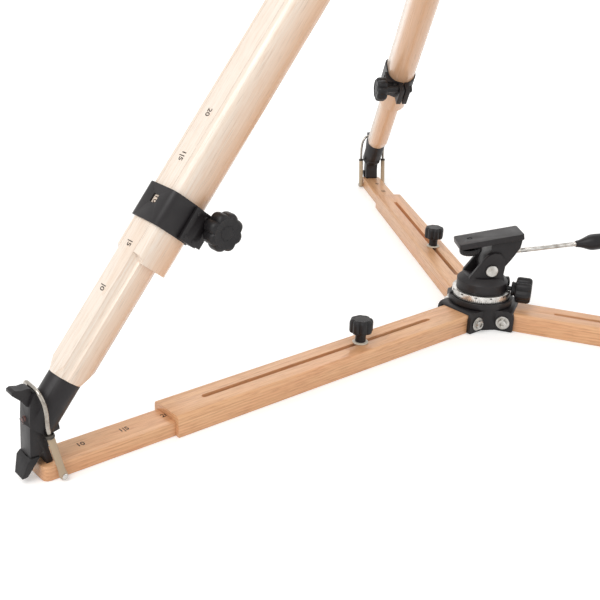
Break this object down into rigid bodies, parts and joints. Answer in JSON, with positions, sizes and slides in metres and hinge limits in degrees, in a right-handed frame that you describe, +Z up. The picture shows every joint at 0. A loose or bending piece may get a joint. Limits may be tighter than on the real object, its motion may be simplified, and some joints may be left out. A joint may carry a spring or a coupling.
{
  "type": "wooden field tripod",
  "caption": "Three-legged telescoping wooden field tripod locked into a telescoping wooden floor spreader with a small pan and tilt head on its hub.",
  "frame": {"origin": "centre of the hub's flat underside, on the floor", "axes": "+Z up along the hub's pan axis; +Y along arm 2; arms 1 and 3 at 210 and 330 degrees from +X"},
  "size_m": [1.1838, 1.0293, 0.8407],
  "materials": {
    "arm_wood": "oiled ash with an orange-tan tone, satin varnish",
    "leg_wood": "pale ash, glossy clear varnish",
    "knob_black": "moulded black plastic, satin",
    "clamp_black": "black moulded strap and jaw, satin",
    "cast_black": "black crinkle paint on cast aluminium",
    "heel_rubber": "dark moulded rubber",
    "steel": "plated steel",
    "ring_aluminium": "turned aluminium",
    "washer_pale": "pale nylon",
    "sleeve_pale": "cream tube over the spring"
  },
  "bodies": {
    "hub": {"hub_casting": "cast_black", "arm_hinge_bolt_1": "steel", "arm_hinge_bolt_2": "steel", "arm_hinge_bolt_3": "steel"},
    "pan": {"degree_ring": "ring_aluminium", "pan_body": "cast_black"},
    "pan_knob": {"pan_lock_knob": "knob_black"},
    "tilt": {"tilt_arm": "cast_black", "tilt_axle": "steel", "camera_plate": "cast_black"},
    "plate_knob": {"camera_screw_knob": "knob_black"},
    "handle": {"handle_rod": "steel", "handle_grip": "knob_black"},
    "crown": {"crown_casting": "cast_black", "crown_hinge_bolt_1": "steel", "crown_hinge_bolt_2": "steel", "crown_hinge_bolt_3": "steel"},
    "crown_knob": {"crown_screw": "knob_black"},
    "leg_1_upper": {"leg_outer_1": "leg_wood", "clamp_band_1": "clamp_black", "clamp_block_1": "clamp_black"},
    "leg_1_knob": {"clamp_knob_1": "knob_black"},
    "leg_1_lower": {"leg_inner_1": "leg_wood", "foot_casting_1": "cast_black", "rubber_heel_1": "heel_rubber", "bail_sleeve_near_1": "sleeve_pale", "bail_sleeve_far_1": "sleeve_pale"},
    "bail_1": {"bail_wire_1": "steel"},
    "arm_1": {"arm_channel_1": "arm_wood"},
    "arm_1_slat": {"arm_slat_1": "arm_wood", "arm_washer_1": "washer_pale"},
    "arm_1_knob": {"arm_knob_1": "knob_black"},
    "leg_2_upper": {"leg_outer_2": "leg_wood", "clamp_band_2": "clamp_black", "clamp_block_2": "clamp_black"},
    "leg_2_knob": {"clamp_knob_2": "knob_black"},
    "leg_2_lower": {"leg_inner_2": "leg_wood", "foot_casting_2": "cast_black", "rubber_heel_2": "heel_rubber", "bail_sleeve_near_2": "sleeve_pale", "bail_sleeve_far_2": "sleeve_pale"},
    "bail_2": {"bail_wire_2": "steel"},
    "arm_2": {"arm_channel_2": "arm_wood"},
    "arm_2_slat": {"arm_slat_2": "arm_wood", "arm_washer_2": "washer_pale"},
    "arm_2_knob": {"arm_knob_2": "knob_black"},
    "leg_3_upper": {"leg_outer_3": "leg_wood", "clamp_band_3": "clamp_black", "clamp_block_3": "clamp_black"},
    "leg_3_knob": {"clamp_knob_3": "knob_black"},
    "leg_3_lower": {"leg_inner_3": "leg_wood", "foot_casting_3": "cast_black", "rubber_heel_3": "heel_rubber", "bail_sleeve_near_3": "sleeve_pale", "bail_sleeve_far_3": "sleeve_pale"},
    "bail_3": {"bail_wire_3": "steel"},
    "arm_3": {"arm_channel_3": "arm_wood"},
    "arm_3_slat": {"arm_slat_3": "arm_wood", "arm_washer_3": "washer_pale"},
    "arm_3_knob": {"arm_knob_3": "knob_black"}
  },
  "joints": [
    {"name": "pan_turn", "type": "hinge", "parent": "hub", "child": "pan", "pos_m": [0, 0, 0.0376], "axis": [0, 0, 1], "continuous": true},
    {"name": "pan_lock_turn", "type": "hinge", "parent": "pan", "child": "pan_knob", "pos_m": [0.04134, -0.02016, 0.0505], "axis": [0.8988, -0.4384, 0], "range_deg": [-30, 330]},
    {"name": "head_tilt", "type": "hinge", "parent": "pan", "child": "tilt", "pos_m": [0.00598, -0.00042, 0.0773], "axis": [0.0698, 0.9976, 0], "range_deg": [-20, 30]},
    {"name": "camera_screw_turn", "type": "hinge", "parent": "tilt", "child": "plate_knob", "pos_m": [-0.02151, 0.0015, 0.10509], "axis": [-0.1784, 0.0125, 0.9839], "continuous": true},
    {"name": "handle_twist", "type": "hinge", "parent": "tilt", "child": "handle", "pos_m": [0.03292, -0.0023, 0.0985], "axis": [0.9908, -0.0693, 0.1167], "range_deg": [-90, 90]},
    {"name": "crown_rise", "type": "slide", "parent": "hub", "child": "crown", "axis": [0, 0, 1], "range_m": [-0.1, 0.19]},
    {"name": "crown_screw_turn", "type": "hinge", "parent": "crown", "child": "crown_knob", "pos_m": [0, 0, 0.82965], "axis": [0, 0, 1], "continuous": true},
    {"name": "leg_1_swing", "type": "hinge", "parent": "crown", "child": "leg_1_upper", "pos_m": [-0.053, -0.0306, 0.78765], "axis": [-0.5, 0.866, 0], "range_deg": [0, 20]},
    {"name": "leg_1_slide", "type": "slide", "parent": "leg_1_upper", "child": "leg_1_lower", "axis": [-0.5391, -0.3113, -0.7826], "range_m": [-0.13, 0.25]},
    {"name": "leg_1_clamp_turn", "type": "hinge", "parent": "leg_1_upper", "child": "leg_1_knob", "pos_m": [-0.38887, -0.25223, 0.22805], "axis": [0.5, -0.866, 0], "range_deg": [-30, 330]},
    {"name": "bail_1_pull", "type": "slide", "parent": "leg_1_lower", "child": "bail_1", "axis": [-0.1905, -0.11, 0.9755], "range_m": [0, 0.012], "stiffness_N_per_m": 400, "springref_m": -0.012},
    {"name": "arm_1_fold", "type": "hinge", "parent": "hub", "child": "arm_1", "pos_m": [-0.03291, -0.019, 0.01245], "axis": [0.5, -0.866, 0], "range_deg": [0, 90]},
    {"name": "arm_1_slide", "type": "slide", "parent": "arm_1", "child": "arm_1_slat", "axis": [-0.866, -0.5, 0], "range_m": [-0.08, 0.152]},
    {"name": "arm_1_knob_turn", "type": "hinge", "parent": "arm_1_slat", "child": "arm_1_knob", "pos_m": [-0.19486, -0.1125, 0.04], "axis": [0, 0, 1], "range_deg": [-30, 330]},
    {"name": "leg_2_swing", "type": "hinge", "parent": "crown", "child": "leg_2_upper", "pos_m": [0, 0.0612, 0.78765], "axis": [1, 0, 0], "range_deg": [0, 20]},
    {"name": "leg_2_slide", "type": "slide", "parent": "leg_2_upper", "child": "leg_2_lower", "axis": [0, 0.6225, -0.7826], "range_m": [-0.13, 0.25]},
    {"name": "leg_2_clamp_turn", "type": "hinge", "parent": "leg_2_upper", "child": "leg_2_knob", "pos_m": [-0.024, 0.46288, 0.22805], "axis": [-1, 0, 0], "range_deg": [-30, 330]},
    {"name": "bail_2_pull", "type": "slide", "parent": "leg_2_lower", "child": "bail_2", "axis": [0, 0.22, 0.9755], "range_m": [0, 0.012], "stiffness_N_per_m": 400, "springref_m": -0.012},
    {"name": "arm_2_fold", "type": "hinge", "parent": "hub", "child": "arm_2", "pos_m": [0, 0.038, 0.01245], "axis": [-1, 0, 0], "range_deg": [0, 90]},
    {"name": "arm_2_slide", "type": "slide", "parent": "arm_2", "child": "arm_2_slat", "axis": [0, 1, 0], "range_m": [-0.08, 0.152]},
    {"name": "arm_2_knob_turn", "type": "hinge", "parent": "arm_2_slat", "child": "arm_2_knob", "pos_m": [0, 0.225, 0.04], "axis": [0, 0, 1], "range_deg": [-30, 330]},
    {"name": "leg_3_swing", "type": "hinge", "parent": "crown", "child": "leg_3_upper", "pos_m": [0.053, -0.0306, 0.78765], "axis": [-0.5, -0.866, 0], "range_deg": [0, 20]},
    {"name": "leg_3_slide", "type": "slide", "parent": "leg_3_upper", "child": "leg_3_lower", "axis": [0.5391, -0.3113, -0.7826], "range_m": [-0.13, 0.25]},
    {"name": "leg_3_clamp_turn", "type": "hinge", "parent": "leg_3_upper", "child": "leg_3_knob", "pos_m": [0.41287, -0.21066, 0.22805], "axis": [0.5, 0.866, 0], "range_deg": [-30, 330]},
    {"name": "bail_3_pull", "type": "slide", "parent": "leg_3_lower", "child": "bail_3", "axis": [0.1905, -0.11, 0.9755], "range_m": [0, 0.012], "stiffness_N_per_m": 400, "springref_m": -0.012},
    {"name": "arm_3_fold", "type": "hinge", "parent": "hub", "child": "arm_3", "pos_m": [0.03291, -0.019, 0.01245], "axis": [0.5, 0.866, 0], "range_deg": [0, 90]},
    {"name": "arm_3_slide", "type": "slide", "parent": "arm_3", "child": "arm_3_slat", "axis": [0.866, -0.5, 0], "range_m": [-0.08, 0.152]},
    {"name": "arm_3_knob_turn", "type": "hinge", "parent": "arm_3_slat", "child": "arm_3_knob", "pos_m": [0.19486, -0.1125, 0.04], "axis": [0, 0, 1], "range_deg": [-30, 330]}
  ],
  "couplings": [
    {"joint": "leg_1_slide", "follows": "crown_rise", "ratio": 1.2778},
    {"joint": "arm_1_slide", "follows": "crown_rise", "ratio": 0.79544},
    {"joint": "leg_2_slide", "follows": "crown_rise", "ratio": 1.2778},
    {"joint": "arm_2_slide", "follows": "crown_rise", "ratio": 0.79544},
    {"joint": "leg_3_slide", "follows": "crown_rise", "ratio": 1.2778},
    {"joint": "arm_3_slide", "follows": "crown_rise", "ratio": 0.79544}
  ]
}
